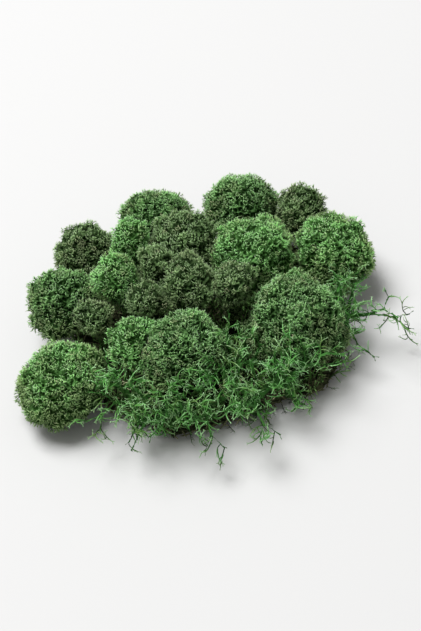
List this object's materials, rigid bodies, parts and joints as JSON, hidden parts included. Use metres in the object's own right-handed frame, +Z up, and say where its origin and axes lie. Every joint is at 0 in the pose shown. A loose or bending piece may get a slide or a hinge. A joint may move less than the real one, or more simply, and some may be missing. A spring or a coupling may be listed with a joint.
{
  "type": "reindeer moss clump",
  "caption": "Cushion of dyed green reindeer moss: dense rounded heads of fine forked tips and loose open sprays on a flat mat of old stems.",
  "frame": {"origin": "on the surface that the clump rests on, under the middle of its outline", "axes": "+Z up, +X to the right along the clump's longest side, -Y to the front, where the open sprays are"},
  "size_m": [0.2398, 0.2178, 0.0645],
  "materials": {
    "bright_moss": "matte",
    "medium_moss": "matte",
    "dull_moss": "matte",
    "open_stems": "matte",
    "old_stems": "matte"
  },
  "bodies": {
    "root": {"old_stem_mat": "old_stems", "head_left_front": "bright_moss", "head_left_back": "dull_moss", "head_left_middle": "dull_moss", "head_inner_left": "bright_moss", "head_inner_small": "dull_moss", "head_low_left": "dull_moss", "head_middle": "dull_moss", "head_low_middle": "dull_moss", "head_back_middle": "dull_moss", "head_right_inner": "bright_moss", "head_right": "bright_moss", "head_right_front": "medium_moss", "head_front": "medium_moss", "head_front_small": "bright_moss", "head_back_left": "dull_moss", "head_back_small": "bright_moss", "head_back_right": "medium_moss", "head_back": "medium_moss", "head_back_right_small": "dull_moss", "spray_front_left": "open_stems", "spray_front_inner_left": "open_stems", "spray_front": "open_stems", "spray_front_right": "open_stems", "spray_front_inner_right": "open_stems", "spray_front_outer_right": "open_stems", "spray_right": "open_stems"}
  },
  "joints": []
}
